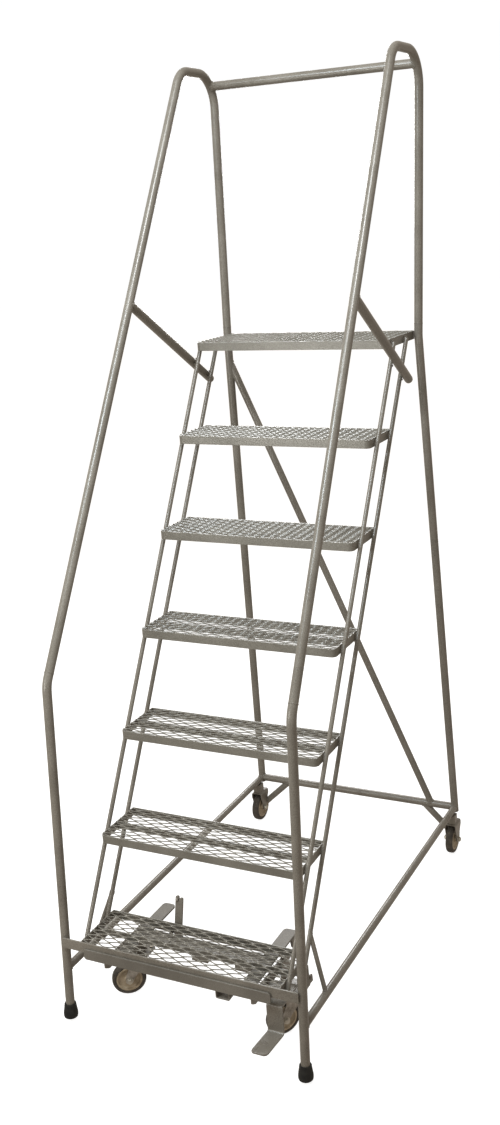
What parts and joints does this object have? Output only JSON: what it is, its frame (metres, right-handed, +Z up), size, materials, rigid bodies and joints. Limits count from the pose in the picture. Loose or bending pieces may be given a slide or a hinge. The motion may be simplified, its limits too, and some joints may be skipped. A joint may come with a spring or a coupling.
{
  "type": "rolling warehouse ladder",
  "caption": "Tall rolling warehouse ladder: welded tube frame with looped handrails, mesh steps, rubber front feet and a foot-operated swivel caster set.",
  "frame": {"origin": "bottom centre of the bounding box: on the floor under the middle of the ladder, halfway between the pedal's toe and the rear base corners", "axes": "+Z up; -Y is the side the user climbs from; +X is to the right of a user facing the steps"},
  "size_m": [0.8016, 1.3984, 2.5665],
  "materials": {
    "powder_coat": "satin powder coat, warm grey",
    "step_paint": "satin powder coat on the steps, warm grey",
    "zinc": "bright zinc plate",
    "tyre": "matte dark rubber",
    "hub_plastic": "tan moulded wheel centre",
    "black_rubber": "matte black rubber"
  },
  "bodies": {
    "ladder_frame": {"front_leg_left": "powder_coat", "handrail_left": "powder_coat", "rear_leg_left": "powder_coat", "base_tube_left": "powder_coat", "rear_caster_brace_left": "powder_coat", "front_stringer_left": "powder_coat", "rear_stringer_left": "powder_coat", "handrail_brace_left": "powder_coat", "stringer_strut_left": "powder_coat", "support_bar_left": "powder_coat", "rear_caster_fork_left": "powder_coat", "rubber_foot_left": "black_rubber", "front_leg_right": "powder_coat", "handrail_right": "powder_coat", "rear_leg_right": "powder_coat", "base_tube_right": "powder_coat", "rear_caster_brace_right": "powder_coat", "front_stringer_right": "powder_coat", "rear_stringer_right": "powder_coat", "handrail_brace_right": "powder_coat", "stringer_strut_right": "powder_coat", "support_bar_right": "powder_coat", "rear_caster_fork_right": "powder_coat", "rubber_foot_right": "black_rubber", "handrail_crossbar": "powder_coat", "rear_crossbar": "powder_coat", "rear_diagonal_brace": "powder_coat", "front_crossbar": "powder_coat", "rocker_pivot_rod": "powder_coat", "step_1_frame": "step_paint", "step_1_tread": "step_paint", "step_2_frame": "step_paint", "step_2_tread": "step_paint", "step_3_frame": "step_paint", "step_3_tread": "step_paint", "step_4_frame": "step_paint", "step_4_tread": "step_paint", "step_5_frame": "step_paint", "step_5_tread": "step_paint", "step_6_frame": "step_paint", "step_6_tread": "step_paint", "step_7_frame": "step_paint", "step_7_tread": "step_paint"},
    "rocker": {"rocker_arm_left": "powder_coat", "rocker_arm_right": "powder_coat", "caster_bracket_left": "powder_coat", "caster_bracket_right": "powder_coat", "rocker_front_bar": "powder_coat", "lock_pedal": "powder_coat"},
    "trip_lever": {"trip_lever": "powder_coat"},
    "front_caster_left": {"front_caster_fork_left": "zinc"},
    "front_wheel_left": {"front_wheel_left_hub": "hub_plastic", "front_wheel_left_tyre": "tyre"},
    "rear_wheel_left": {"rear_wheel_left_hub": "hub_plastic", "rear_wheel_left_tyre": "tyre"},
    "front_caster_right": {"front_caster_fork_right": "zinc"},
    "front_wheel_right": {"front_wheel_right_hub": "hub_plastic", "front_wheel_right_tyre": "tyre"},
    "rear_wheel_right": {"rear_wheel_right_hub": "hub_plastic", "rear_wheel_right_tyre": "tyre"}
  },
  "joints": [
    {"name": "rocker_hinge", "type": "hinge", "parent": "ladder_frame", "child": "rocker", "pos_m": [0, -0.45075, 0.207], "axis": [1, 0, 0], "range_deg": [0, 15], "stiffness_Nm_per_rad": 40, "springref_deg": -28.65},
    {"name": "trip_lever_hinge", "type": "hinge", "parent": "ladder_frame", "child": "trip_lever", "pos_m": [-0.105, -0.40575, 0.225], "axis": [1, 0, 0], "range_deg": [-12, 12], "stiffness_Nm_per_rad": 0.6},
    {"name": "front_swivel_left", "type": "hinge", "parent": "rocker", "child": "front_caster_left", "pos_m": [-0.248, -0.41775, 0.113], "axis": [0, 0, 1], "continuous": true},
    {"name": "front_wheel_spin_left", "type": "hinge", "parent": "front_caster_left", "child": "front_wheel_left", "pos_m": [-0.27196, -0.4358, 0.05], "axis": [0.6018, -0.7986, 0], "continuous": true},
    {"name": "rear_wheel_spin_left", "type": "hinge", "parent": "ladder_frame", "child": "rear_wheel_left", "pos_m": [-0.372, 0.64925, 0.05], "axis": [1, 0, 0], "continuous": true},
    {"name": "front_swivel_right", "type": "hinge", "parent": "rocker", "child": "front_caster_right", "pos_m": [0.248, -0.41775, 0.113], "axis": [0, 0, 1], "continuous": true},
    {"name": "front_wheel_spin_right", "type": "hinge", "parent": "front_caster_right", "child": "front_wheel_right", "pos_m": [0.22995, -0.44171, 0.05], "axis": [0.7986, -0.6018, 0], "continuous": true},
    {"name": "rear_wheel_spin_right", "type": "hinge", "parent": "ladder_frame", "child": "rear_wheel_right", "pos_m": [0.372, 0.64925, 0.05], "axis": [1, 0, 0], "continuous": true}
  ]
}
